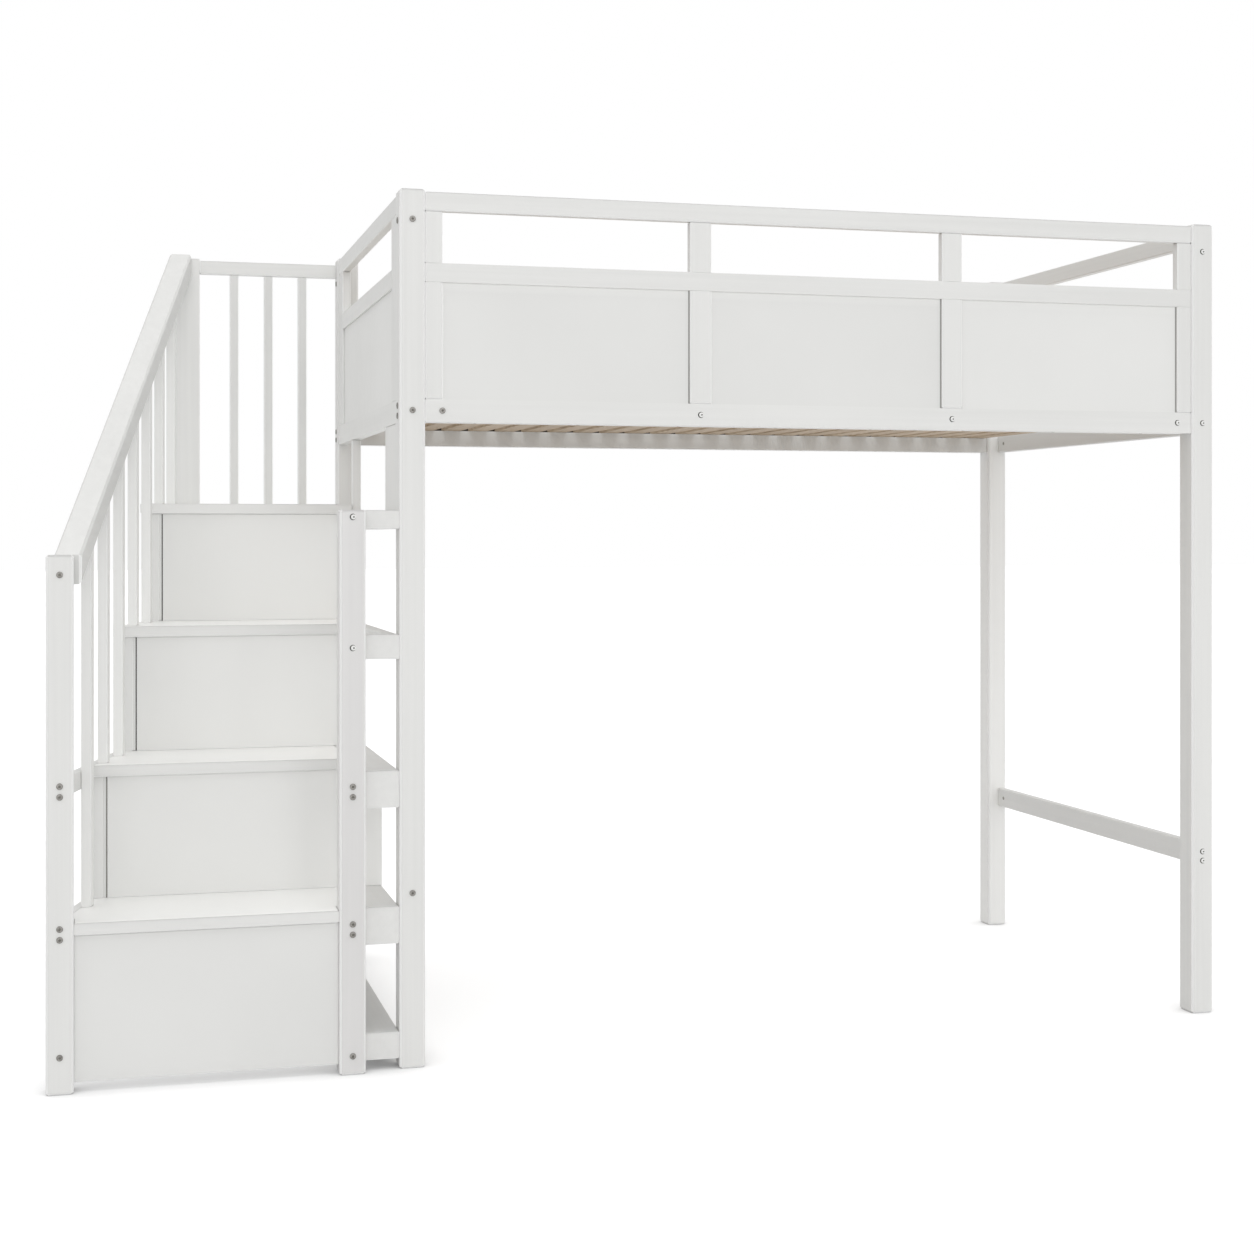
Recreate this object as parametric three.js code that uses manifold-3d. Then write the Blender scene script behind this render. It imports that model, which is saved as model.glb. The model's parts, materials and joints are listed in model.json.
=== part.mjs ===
// Loft bed with a storage stair at its left end, in painted wood.
// Millimetres, +Z up, X along the bed, front at low Y.
import * as THREE from "three";
import { mergeVertices } from "three/addons/utils/BufferGeometryUtils.js";
import Module from "manifold-3d";

const wasm = await Module();
wasm.setup();

// Fits shared by every joint
const GAP = 0.3; // clearance left at each joint
const OVERRUN = 4; // how far a cutter runs past the face it opens
const EDGE = 2; // eased edge of boards
const THIN_EDGE = 0.8; // eased edge of panels and slats

// Bed posts
const BED_LENGTH = 1980; // over the outer faces of the posts
const BED_DEPTH = 1110;
const BED_HEIGHT = 1900;
const POST_SIZE = 56;
const POST_EDGE = 4;

// Guard frames
const FRAME_THICKNESS = 22;
const FRAME_SETBACK = 3; // frame face behind the post face
const TOP_RAIL_DROP = 5; // post top above the top rail
const TOP_RAIL_HEIGHT = 41;
const WINDOW_HEIGHT = 113;
const MID_RAIL_HEIGHT = 41;
const PANEL_OPENING_HEIGHT = 254;
const SIDE_RAIL_HEIGHT = 50;
const OUTER_STILE_WIDTH = 38;
const MID_STILE_WIDTH = 50;
const END_STILE_WIDTH = 80;
const FRONT_PANEL_COUNT = 3;
const PANEL_THICKNESS = 9;
const PANEL_RECESS = 6; // panel face behind the frame face
const GROOVE_DEPTH = 8;
const LOW_RAIL_BOTTOM = 352;
const LOW_RAIL_HEIGHT = 52;

// Slatted deck
const LEDGE_HEIGHT = 42; // ledge on the side rails that carries the slats
const LEDGE_DEPTH = 22;
const SLAT_COUNT = 25;
const SLAT_WIDTH = 50;
const SLAT_THICKNESS = 18;
const SLAT_END_SPACE = 9; // from the posts to the first and last slat
const TAPE_WIDTH = 24; // webbing that joins the slats
const TAPE_THICKNESS = 1.5;
const TAPE_SINK = 0.5;
const TAPE_INSET = 170; // from the slat ends to the tape

// Stair frame
const STAIR_WIDTH = 736; // from the bed's left face outwards, at the newel
const STAIR_TAPER = 300; // how much narrower the stair is at its rear
const STAIR_REACH = 20; // stair posts in front of the bed posts
const STAIR_POST_SIZE = 56;
const SIDE_BAR_WIDTH = 76; // bars between the stair and bed posts
const UPPER_BAR_COUNT = 2; // bars that are narrower behind their front ends
const UPPER_BAR_WIDTH = 30;
const UPPER_BAR_HEAD = 56; // length of their full-width front ends
const SIDE_BAR_SETBACK = 4; // bar ends behind the bed post face
const SIDE_BAR_FLOOR_GAP = 22;
const SIDE_BAR_HEIGHTS = [58, 80, 80, 53, 40]; // from the floor up
const LEFT_BAR_THICKNESS = 22;
const LEFT_BAR_HEIGHT = 40;
const LEFT_BAR_COUNT = 2;
const REAR_BOARD_WIDTH = 78;
const REAR_BOARD_THICKNESS = 26;
const REAR_BOARD_DROP = 10; // post top above the rear board
const BACK_PANEL_THICKNESS = 18;

// Steps
const FIRST_STEP_TOP = 350;
const STEP_COUNT = 4; // the last one is the platform
const PLATFORM_DROP = 166; // underside of the side rail above the platform
const PLATFORM_DEPTH = 344; // from its nosing to the rear face of the bed
const TREAD_THICKNESS = 25;
const TREAD_SETBACK = 6; // first nosing behind the face of the stair posts
const NOSING = 8;
const RISER_THICKNESS = 18;
const RISER_FLOOR_GAP = 20;
const RISER_INSET = 48; // from the stair's left side to the upper risers
const UPRIGHT_WIDTH = 44; // block left of the upper risers
const UPRIGHT_DEPTH = 36;
const UPRIGHT_GROOVE = 3;

// Railings
const NEWEL_HEIGHT = 1110;
const HANDRAIL_PLUMB_HEIGHT = 62;
const HANDRAIL_EDGE = 5;
const BALUSTER_SIZE = 22;
const SIDE_BALUSTER_COUNT = 7;
const REAR_BALUSTER_COUNT = 3;
const REAR_RAIL_DROP = 15; // post top above the rear railing
const REAR_RAIL_HEIGHT = 35;
const END_BOARD_WIDTH = 170; // upright board beside the front left post
const END_BALUSTER_SPACE = 250; // from the rear left post

// Levels worked out from the sizes above
const topRailTop = BED_HEIGHT - TOP_RAIL_DROP;
const topRailBottom = topRailTop - TOP_RAIL_HEIGHT;
const midRailTop = topRailBottom - WINDOW_HEIGHT;
const midRailBottom = midRailTop - MID_RAIL_HEIGHT;
const sideRailTop = midRailBottom - PANEL_OPENING_HEIGHT;
const sideRailBottom = sideRailTop - SIDE_RAIL_HEIGHT;
const ledgeTop = sideRailBottom + LEDGE_HEIGHT;
const platformTop = sideRailBottom - PLATFORM_DROP;
const platformBottom = platformTop - TREAD_THICKNESS;
const rearBoardFront = BED_DEPTH - REAR_BOARD_THICKNESS;
const backPanelFront = rearBoardFront - BACK_PANEL_THICKNESS;
const stairLeft = -STAIR_WIDTH;
const newelRight = stairLeft + STAIR_POST_SIZE;
const newelFront = -STAIR_REACH;
const newelRear = newelFront + STAIR_POST_SIZE;
const stairPostLeft = -SIDE_BAR_WIDTH - STAIR_POST_SIZE;
const flankSlope = STAIR_TAPER / (BED_DEPTH - newelFront);
const rearBoardLeft = stairLeft + flankSlope * (rearBoardFront - newelFront);
const rearBoardRight = rearBoardLeft + REAR_BOARD_WIDTH;
const firstStepFront = newelFront + TREAD_SETBACK;
const stepRise = (platformTop - FIRST_STEP_TOP) / (STEP_COUNT - 1);
const stepGoing = (BED_DEPTH - PLATFORM_DEPTH - firstStepFront) / (STEP_COUNT - 1);
const rearBoardTop = BED_HEIGHT - REAR_BOARD_DROP;
const rearRailTop = BED_HEIGHT - REAR_RAIL_DROP;
const rearRailBottom = rearRailTop - REAR_RAIL_HEIGHT;

const PAINT = new THREE.MeshStandardMaterial({ color: 0xe3e3e1, roughness: 0.5, metalness: 0 });
const PANEL_PAINT = new THREE.MeshStandardMaterial({ color: 0xdedddb, roughness: 0.5, metalness: 0 });
const BARE_WOOD = new THREE.MeshStandardMaterial({ color: 0xc8b294, roughness: 0.7, metalness: 0 });

const bed = new THREE.Group();
const stair = new THREE.Group();
const X = new THREE.Vector3(1, 0, 0);
const Y = new THREE.Vector3(0, 1, 0);
const Z = new THREE.Vector3(0, 0, 1);

// A span shortened by the joint gap at both ends
function fit(from, to) {
  return [from + GAP, to - GAP];
}

// A span of a given length about a centre
function about(centre, length) {
  return [centre - length / 2, centre + length / 2];
}

function outline(points) {
  return new THREE.Shape(points.map(([u, v]) => new THREE.Vector2(u, v)));
}

// A rectangle with its four corners cut off
function easedRectangle([u0, u1], [v0, v1], edge) {
  return outline([
    [u0 + edge, v0], [u1 - edge, v0], [u1, v0 + edge], [u1, v1 - edge],
    [u1 - edge, v1], [u0 + edge, v1], [u0, v1 - edge], [u0, v0 + edge],
  ]);
}

function rectangle([u0, u1], [v0, v1]) {
  return outline([[u0, v0], [u1, v0], [u1, v1], [u0, v1]]);
}

// Extrudes a shape over a span, with eased edges round both ends
function extrude(shape, [from, to], edge) {
  const geometry = new THREE.ExtrudeGeometry(shape, {
    depth: to - from - 2 * edge,
    bevelEnabled: edge > 0,
    bevelThickness: edge,
    bevelSize: edge,
    bevelOffset: -edge,
    bevelSegments: 1,
  });
  return geometry.translate(0, 0, from + edge);
}

// A shape drawn in Y and Z, extruded along X
function alongX(shape, span, edge) {
  return extrude(shape, span, edge).applyMatrix4(new THREE.Matrix4().makeBasis(Y, Z, X));
}

// A shape drawn in X and Z, extruded along Y
function alongY(shape, [from, to], edge) {
  const turned = new THREE.Matrix4().makeBasis(X, Z, Y.clone().negate());
  return extrude(shape, [-to, -from], edge).applyMatrix4(turned);
}

function board(xSpan, ySpan, zSpan, edge = EDGE) {
  return extrude(easedRectangle(xSpan, ySpan, edge), zSpan, edge);
}

function cutter(xSpan, ySpan, zSpan) {
  return extrude(rectangle(xSpan, ySpan), zSpan, 0);
}

function toSolid(geometry) {
  const bare = geometry.clone();
  bare.deleteAttribute("normal");
  bare.deleteAttribute("uv");
  const merged = mergeVertices(bare);
  return new wasm.Manifold(new wasm.Mesh({
    numProp: 3,
    vertProperties: new Float32Array(merged.attributes.position.array),
    triVerts: new Uint32Array(merged.index.array),
  }));
}

function toGeometry(solid) {
  const mesh = solid.getMesh();
  const geometry = new THREE.BufferGeometry();
  geometry.setAttribute("position", new THREE.BufferAttribute(mesh.vertProperties, 3));
  geometry.setIndex(new THREE.BufferAttribute(mesh.triVerts, 1));
  geometry.computeVertexNormals();
  return geometry;
}

function cut(geometry, tools) {
  return toGeometry(tools.reduce((solid, tool) => solid.subtract(toSolid(tool)), toSolid(geometry)));
}

function join(geometries) {
  return toGeometry(geometries.map(toSolid).reduce((solid, next) => solid.add(next)));
}

function add(group, name, geometry, material = PAINT) {
  const mesh = new THREE.Mesh(geometry, material);
  mesh.name = name;
  group.add(mesh);
}

// Bed posts
const postSpansX = { left: [0, POST_SIZE], right: [BED_LENGTH - POST_SIZE, BED_LENGTH] };
const postSpansY = { front: [0, POST_SIZE], rear: [BED_DEPTH - POST_SIZE, BED_DEPTH] };
for (const [row, ySpan] of Object.entries(postSpansY)) {
  for (const [side, xSpan] of Object.entries(postSpansX)) {
    add(bed, `${row}_${side}_post`, board(xSpan, ySpan, [0, BED_HEIGHT], POST_EDGE));
  }
}

// Spans that the guard frames share
const betweenPostsX = fit(POST_SIZE, BED_LENGTH - POST_SIZE);
const betweenPostsY = fit(POST_SIZE, BED_DEPTH - POST_SIZE);
const frontFrameY = [FRAME_SETBACK, FRAME_SETBACK + FRAME_THICKNESS];
const rearFrameY = [BED_DEPTH - FRAME_SETBACK - FRAME_THICKNESS, BED_DEPTH - FRAME_SETBACK];
const leftFrameX = [FRAME_SETBACK, FRAME_SETBACK + FRAME_THICKNESS];
const rightFrameX = [BED_LENGTH - FRAME_SETBACK - FRAME_THICKNESS, BED_LENGTH - FRAME_SETBACK];
const topRailZ = [topRailBottom, topRailTop];
const midRailZ = [midRailBottom, midRailTop];
const sideRailZ = [sideRailBottom, sideRailTop];
const panelStart = FRAME_SETBACK + PANEL_RECESS;
const panelSpan = [panelStart, panelStart + PANEL_THICKNESS];
const grooveSpan = [panelStart - GAP, panelStart + PANEL_THICKNESS + GAP];

// A rail section with the panel groove in its lower edge; u runs through the frame
function topGroovedSection([u0, u1], [z0, z1]) {
  const [g0, g1] = grooveSpan;
  const floor = z0 + GROOVE_DEPTH;
  return outline([[u0, z0], [g0, z0], [g0, floor], [g1, floor], [g1, z0], [u1, z0], [u1, z1], [u0, z1]]);
}

// A rail section with the panel groove in its upper edge
function bottomGroovedSection([u0, u1], [z0, z1]) {
  const [g0, g1] = grooveSpan;
  const floor = z1 - GROOVE_DEPTH;
  return outline([[u0, z0], [u1, z0], [u1, z1], [g1, z1], [g1, floor], [g0, floor], [g0, z1], [u0, z1]]);
}

// The side rail with its groove above and its slat ledge behind
function frontSideRailSection() {
  const [u0, u1] = frontFrameY;
  const [g0, g1] = grooveSpan;
  const floor = sideRailTop - GROOVE_DEPTH;
  const ledge = u1 + LEDGE_DEPTH;
  return outline([
    [u0, sideRailBottom], [ledge, sideRailBottom], [ledge, ledgeTop], [u1, ledgeTop], [u1, sideRailTop],
    [g1, sideRailTop], [g1, floor], [g0, floor], [g0, sideRailTop], [u0, sideRailTop],
  ]);
}

function rearSideRailSection() {
  const [u0, u1] = rearFrameY;
  const ledge = u0 - LEDGE_DEPTH;
  return outline([
    [ledge, sideRailBottom], [u1, sideRailBottom], [u1, sideRailTop],
    [u0, sideRailTop], [u0, ledgeTop], [ledge, ledgeTop],
  ]);
}

// Front guard: three windows over three panels
const frontInner = [POST_SIZE + OUTER_STILE_WIDTH, BED_LENGTH - POST_SIZE - OUTER_STILE_WIDTH];
const midStiles = MID_STILE_WIDTH * (FRONT_PANEL_COUNT - 1);
const frontBay = (frontInner[1] - frontInner[0] - midStiles) / FRONT_PANEL_COUNT;
const baySpans = Array.from({ length: FRONT_PANEL_COUNT }, (_, i) => {
  const start = frontInner[0] + i * (frontBay + MID_STILE_WIDTH);
  return [start, start + frontBay];
});
const midStileSpans = baySpans.slice(1).map(([start]) => [start - MID_STILE_WIDTH, start]);
const leftStileSpan = [betweenPostsX[0], frontInner[0]];
const rightStileSpan = [frontInner[1], betweenPostsX[1]];
const stileSpans = [leftStileSpan, ...midStileSpans, rightStileSpan];
const lapDepth = FRAME_SETBACK + FRAME_THICKNESS / 2;
const stileZ = fit(sideRailTop, topRailBottom);
const stileGrooveZ = [sideRailTop - OVERRUN, midRailBottom + GROOVE_DEPTH];

// A groove cutter in the side of a stile that faces a panel
function stileGroove(face, direction) {
  const ends = [face - direction * GROOVE_DEPTH, face + direction * OVERRUN];
  return [Math.min(...ends), Math.max(...ends)];
}

function frontMidRail() {
  const rail = alongX(topGroovedSection(frontFrameY, midRailZ), betweenPostsX, EDGE);
  const lapY = [lapDepth, frontFrameY[1] + OVERRUN];
  const lapZ = [midRailBottom - OVERRUN, midRailTop + OVERRUN];
  const laps = stileSpans.map(([a, b]) => cutter([a - GAP, b + GAP], lapY, lapZ));
  return cut(rail, laps);
}

// The half of a stile that the mid rail takes
function stileLap([a, b]) {
  return cutter([a - OVERRUN, b + OVERRUN], [frontFrameY[0] - OVERRUN, lapDepth + GAP],
    [midRailBottom - GAP, midRailTop + GAP]);
}

// A front stile, lapped by the mid rail and grooved on the sides that face a panel
function frontStile(span, grooves) {
  const tools = grooves.map((groove) => cutter(groove, grooveSpan, stileGrooveZ));
  return cut(board(span, frontFrameY, stileZ), [stileLap(span), ...tools]);
}

const panelReach = GROOVE_DEPTH - GAP;
const panelZ = [sideRailTop - panelReach, midRailBottom + panelReach];
add(bed, "front_top_rail", board(betweenPostsX, frontFrameY, topRailZ));
add(bed, "front_mid_rail", frontMidRail());
add(bed, "front_side_rail", alongX(frontSideRailSection(), betweenPostsX, EDGE));
stileSpans.forEach((span, i) => {
  const left = i > 0 ? [stileGroove(span[0], -1)] : [];
  const right = i < FRONT_PANEL_COUNT ? [stileGroove(span[1], 1)] : [];
  add(bed, `front_stile_${i + 1}`, frontStile(span, [...left, ...right]));
});
baySpans.forEach(([a, b], i) => {
  const panel = board([a - panelReach, b + panelReach], panelSpan, panelZ, THIN_EDGE);
  add(bed, `front_panel_${i + 1}`, panel, PANEL_PAINT);
});

// Left end guard: one window over one panel
const endInner = [POST_SIZE + END_STILE_WIDTH, BED_DEPTH - POST_SIZE - END_STILE_WIDTH];
const endStileSpans = [[POST_SIZE + GAP, endInner[0]], [endInner[1], BED_DEPTH - POST_SIZE - GAP]];
add(bed, "left_end_top_rail", board(leftFrameX, betweenPostsY, topRailZ));
add(bed, "left_end_mid_rail", alongY(topGroovedSection(leftFrameX, midRailZ), fit(...endInner), EDGE));
add(bed, "left_end_bottom_rail", alongY(bottomGroovedSection(leftFrameX, sideRailZ), betweenPostsY, EDGE));
endStileSpans.forEach((span, i) => {
  const groove = cutter(grooveSpan, stileGroove(endInner[i], 1 - 2 * i), stileGrooveZ);
  add(bed, `left_end_stile_${i + 1}`, cut(board(leftFrameX, span, stileZ), [groove]));
});
add(bed, "left_end_panel",
  board(panelSpan, [endInner[0] - panelReach, endInner[1] + panelReach], panelZ, THIN_EDGE), PANEL_PAINT);

// Right end and rear rails
add(bed, "right_end_top_rail", board(rightFrameX, betweenPostsY, topRailZ));
add(bed, "right_end_mid_rail", board(rightFrameX, betweenPostsY, midRailZ));
add(bed, "right_end_bottom_rail", board(rightFrameX, betweenPostsY, sideRailZ));
add(bed, "right_end_low_rail",
  board(rightFrameX, betweenPostsY, [LOW_RAIL_BOTTOM, LOW_RAIL_BOTTOM + LOW_RAIL_HEIGHT]));
add(bed, "rear_side_rail", alongX(rearSideRailSection(), betweenPostsX, EDGE));
add(bed, "rear_guard_rail", board(betweenPostsX, rearFrameY, midRailZ));

// Slats on the ledges, joined by two strips of webbing
function slatRoll() {
  const [y0, y1] = fit(frontFrameY[1], rearFrameY[0]);
  const first = POST_SIZE + SLAT_END_SPACE;
  const pitch = (BED_LENGTH - 2 * first - SLAT_WIDTH) / (SLAT_COUNT - 1);
  const bottom = ledgeTop + GAP;
  const top = bottom + SLAT_THICKNESS;
  const slats = Array.from({ length: SLAT_COUNT }, (_, i) => {
    const start = first + i * pitch;
    return board([start, start + SLAT_WIDTH], [y0, y1], [bottom, top], THIN_EDGE);
  });
  const tapeX = [first + SLAT_WIDTH / 2, BED_LENGTH - first - SLAT_WIDTH / 2];
  const tapes = [y0 + TAPE_INSET, y1 - TAPE_INSET].map((y) => (
    cutter(tapeX, about(y, TAPE_WIDTH), [top - TAPE_SINK, top + TAPE_THICKNESS])
  ));
  return join([...slats, ...tapes]);
}
add(bed, "slat_roll", slatRoll(), BARE_WOOD);

// X on the stair's left side, which runs inwards from the newel to the rear board
function flankX(y, inset = 0) {
  return stairLeft + inset + flankSlope * (y - newelFront);
}

// Slants a piece that was drawn square so that it follows the stair's left side
function slanted(geometry) {
  const shear = new THREE.Matrix4().makeShear(0, 0, flankSlope, 0, 0, 0);
  return geometry.applyMatrix4(shear).translate(-flankSlope * newelFront, 0, 0);
}

// A board whose left end follows the stair's left side
function flankBoard(inset, right, [y0, y1], zSpan) {
  const corners = [[flankX(y0, inset), y0], [right, y0], [right, y1], [flankX(y1, inset), y1]];
  return extrude(outline(corners), zSpan, EDGE);
}

// Stair posts
const newelY = [newelFront, newelRear];
add(stair, "stair_newel_post", board([stairLeft, newelRight], newelY, [0, NEWEL_HEIGHT], POST_EDGE));
add(stair, "stair_front_right_post",
  board([stairPostLeft, -SIDE_BAR_WIDTH], newelY, [0, platformBottom], POST_EDGE));
add(stair, "stair_rear_left_board",
  board([rearBoardLeft, rearBoardRight], [rearBoardFront, BED_DEPTH], [0, rearBoardTop]));
const besideLeftBar = LEFT_BAR_THICKNESS + GAP;
const backPanelZ = fit(SIDE_BAR_FLOOR_GAP, platformBottom);
add(stair, "stair_back_panel",
  flankBoard(besideLeftBar, -GAP, fit(backPanelFront, rearBoardFront), backPanelZ));

// Steps: tops, nosings and the undersides that carry each tread
const steps = Array.from({ length: STEP_COUNT }, (_, i) => {
  const top = FIRST_STEP_TOP + i * stepRise;
  return { top, bottom: top - TREAD_THICKNESS, front: firstStepFront + i * stepGoing };
});

// Bars between the stair and bed posts: at the floor, level with each tread and under the platform
const treadTops = steps.slice(0, -1).map((step) => step.top);
const sideBarTops = [SIDE_BAR_FLOOR_GAP + SIDE_BAR_HEIGHTS[0], ...treadTops, platformBottom - GAP];
const sideBarZ = SIDE_BAR_HEIGHTS.map((height, i) => [sideBarTops[i] - height, sideBarTops[i]]);
const sideBarX = fit(-SIDE_BAR_WIDTH, 0);
const sideBarEnds = [SIDE_BAR_SETBACK, backPanelFront - GAP];

const isUpperBar = (i) => i >= sideBarZ.length - UPPER_BAR_COUNT;
const sideBarInner = (i) => (isUpperBar(i) ? -UPPER_BAR_WIDTH : -SIDE_BAR_WIDTH);

// An upper bar, wide at its front end; its right side follows the given points
function upperSideBar(rightSide, zSpan) {
  const [x0, x1] = sideBarX;
  const [y0, y1] = sideBarEnds;
  const head = y0 + UPPER_BAR_HEAD;
  return extrude(outline([
    [x0, y0], [x1, y0], ...rightSide, [x1, y1], [-UPPER_BAR_WIDTH, y1], [-UPPER_BAR_WIDTH, head], [x0, head],
  ]), zSpan, EDGE);
}

// The top bar reaches in between the bed posts
function topSideBarSide() {
  const right = sideBarX[1];
  const [p0, p1] = betweenPostsY;
  const wide = leftFrameX[1];
  return [[right, p0], [wide, p0], [wide, p1], [right, p1]];
}

sideBarZ.forEach((span, i) => {
  const rightSide = i === sideBarZ.length - 1 ? topSideBarSide() : [];
  const bar = isUpperBar(i) ? upperSideBar(rightSide, span) : board(sideBarX, sideBarEnds, span);
  add(stair, `stair_side_bar_${i + 1}`, bar);
});

// Left bars run from the newel to the rear board, level with the first two treads
const leftBarX = [stairLeft, stairLeft + LEFT_BAR_THICKNESS];
steps.slice(0, LEFT_BAR_COUNT).forEach(({ top }, i) => {
  const span = [top - LEFT_BAR_HEIGHT, top];
  add(stair, `stair_left_bar_${i + 1}`, slanted(board(leftBarX, fit(newelRear, rearBoardFront), span)));
});

// The treads lie between the left bars and the side bars; the first is cut round both front posts
const treadRight = (i) => sideBarInner(i + 1) - GAP;
const treadRear = backPanelFront - GAP;
function firstTread({ front, top, bottom }) {
  const shoulder = newelRear + GAP;
  const [left, right] = fit(newelRight, stairPostLeft);
  const wide = treadRight(0);
  return extrude(outline([
    [left, front], [right, front], [right, shoulder], [wide, shoulder],
    [wide, treadRear], [flankX(treadRear, besideLeftBar), treadRear],
    [flankX(shoulder, besideLeftBar), shoulder], [left, shoulder],
  ]), [bottom, top], EDGE);
}

// The platform reaches past the rear board to carry the rear balusters
function platform({ front, top, bottom }) {
  const notchFront = rearBoardFront - GAP;
  const notchRight = rearBoardRight + GAP;
  return extrude(outline([
    [flankX(front), front], [-GAP, front], [-GAP, BED_DEPTH], [notchRight, BED_DEPTH],
    [notchRight, notchFront], [flankX(notchFront), notchFront],
  ]), [bottom, top], EDGE);
}

function plainTread({ front, top, bottom }, i) {
  const inset = i < LEFT_BAR_COUNT ? besideLeftBar : 0;
  return flankBoard(inset, treadRight(i), [front, treadRear], [bottom, top]);
}

steps.forEach((step, i) => {
  if (i === 0) add(stair, "tread_1", firstTread(step));
  else if (i === STEP_COUNT - 1) add(stair, "platform", platform(step));
  else add(stair, `tread_${i + 1}`, plainTread(step, i));
});

// The lowest riser stands between the posts
const riserY = (step) => [step.front + NOSING, step.front + NOSING + RISER_THICKNESS];
const lowestRiserZ = [RISER_FLOOR_GAP, steps[0].bottom - GAP];
add(stair, "riser_1", board(fit(newelRight, stairPostLeft), riserY(steps[0]), lowestRiserZ), PANEL_PAINT);

// The others stand on the tread and bar below and are notched round the side bar above
const riserLeft = (step) => flankX(riserY(step)[1], RISER_INSET);
function riser(i) {
  const left = riserLeft(steps[i]);
  const z0 = steps[i - 1].top + GAP;
  const z1 = steps[i].bottom - GAP;
  const notchX = sideBarInner(i + 1) - GAP;
  const notchZ = sideBarZ[i + 1][0] - GAP;
  const shape = outline([
    [left, z0], [-GAP, z0], [-GAP, notchZ], [notchX, notchZ], [notchX, z1], [left, z1],
  ]);
  return alongY(shape, riserY(steps[i]), THIN_EDGE);
}

// The two upper risers carry a block that props the tread above at its open end
function proppedRiser(i) {
  const [y0, y1] = riserY(steps[i]);
  const z = [steps[i - 1].top + GAP, steps[i].bottom - GAP];
  const blockX = [stairLeft, stairLeft + UPRIGHT_WIDTH];
  const block = slanted(board(blockX, [y0, y0 + UPRIGHT_DEPTH], z, THIN_EDGE));
  const webX = [flankX(y0, UPRIGHT_WIDTH - OVERRUN), riserLeft(steps[i]) + OVERRUN];
  const web = cutter(webX, [y0 + UPRIGHT_GROOVE, y1 - THIN_EDGE], [z[0] + THIN_EDGE, z[1] - THIN_EDGE]);
  return join([block, web, riser(i)]);
}

for (let i = 1; i < STEP_COUNT; i += 1) {
  add(stair, `riser_${i + 1}`, i === 1 ? riser(i) : proppedRiser(i), PANEL_PAINT);
}

// Handrail: from the newel's top to the level of the bed posts, cut plumb at both ends
const [handrailStart, handrailEnd] = fit(newelRear, rearBoardFront);
const slope = (BED_HEIGHT - NEWEL_HEIGHT) / (handrailEnd - handrailStart);
const handrailOver = (y) => NEWEL_HEIGHT + slope * (y - handrailStart);
const handrailUnder = (y) => handrailOver(y) - HANDRAIL_PLUMB_HEIGHT;
add(stair, "handrail", slanted(alongX(outline([
  [handrailStart, handrailUnder(handrailStart)], [handrailEnd, handrailUnder(handrailEnd)],
  [handrailEnd, BED_HEIGHT], [handrailStart, NEWEL_HEIGHT],
]), [stairLeft, newelRight], HANDRAIL_EDGE)));

// Side balusters stand on the steps and are cut to the slope of the handrail
const sideSpace = (rearBoardFront - newelRear) / (SIDE_BALUSTER_COUNT + 1);
const sideBalusterLeft = stairLeft + besideLeftBar;
const sideBalusterX = [sideBalusterLeft, sideBalusterLeft + BALUSTER_SIZE];
for (let i = 1; i <= SIDE_BALUSTER_COUNT; i += 1) {
  const [y0, y1] = about(newelRear + i * sideSpace, BALUSTER_SIZE);
  const under = steps.findLast((step) => step.front < y1 + GAP);
  const foot = under.top + GAP;
  const shape = outline([
    [y0, foot], [y1, foot], [y1, handrailUnder(y1) - GAP], [y0, handrailUnder(y0) - GAP],
  ]);
  add(stair, `side_baluster_${i}`, slanted(alongX(shape, sideBalusterX, EDGE)));
}

// Rear railing of the platform
const rearRailX = fit(rearBoardRight, 0);
const rearRailY = about(BED_DEPTH - REAR_BOARD_THICKNESS / 2, BALUSTER_SIZE);
add(stair, "rear_top_rail", board(rearRailX, rearRailY, [rearRailBottom, rearRailTop]));
const rearSpace = (rearRailX[1] - rearRailX[0]) / (REAR_BALUSTER_COUNT + 1);
for (let i = 1; i <= REAR_BALUSTER_COUNT; i += 1) {
  const xSpan = about(rearRailX[0] + i * rearSpace, BALUSTER_SIZE);
  add(stair, `rear_baluster_${i}`, board(xSpan, rearRailY, fit(platformTop, rearRailBottom)));
}

// Infill between the top side bar and the left end of the bed
const infillZ = [platformBottom, sideRailBottom - GAP];
const endBalusterY = BED_DEPTH - POST_SIZE - END_BALUSTER_SPACE;
add(stair, "end_board", board(leftFrameX, [POST_SIZE + GAP, POST_SIZE + END_BOARD_WIDTH], infillZ));
add(stair, "end_baluster", board(leftFrameX, [endBalusterY - BALUSTER_SIZE, endBalusterY], infillZ));

// The origin lies on the floor under the middle of the whole object
const loftBed = new THREE.Group();
loftBed.add(bed, stair);
loftBed.position.set((STAIR_WIDTH - BED_LENGTH) / 2, (STAIR_REACH - BED_DEPTH) / 2, 0);

export default loftBed;
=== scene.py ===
"""Looks for a painted wooden loft bed with a storage stair at its left end."""

import json
import math

import bpy
from mathutils import Matrix, Vector


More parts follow.
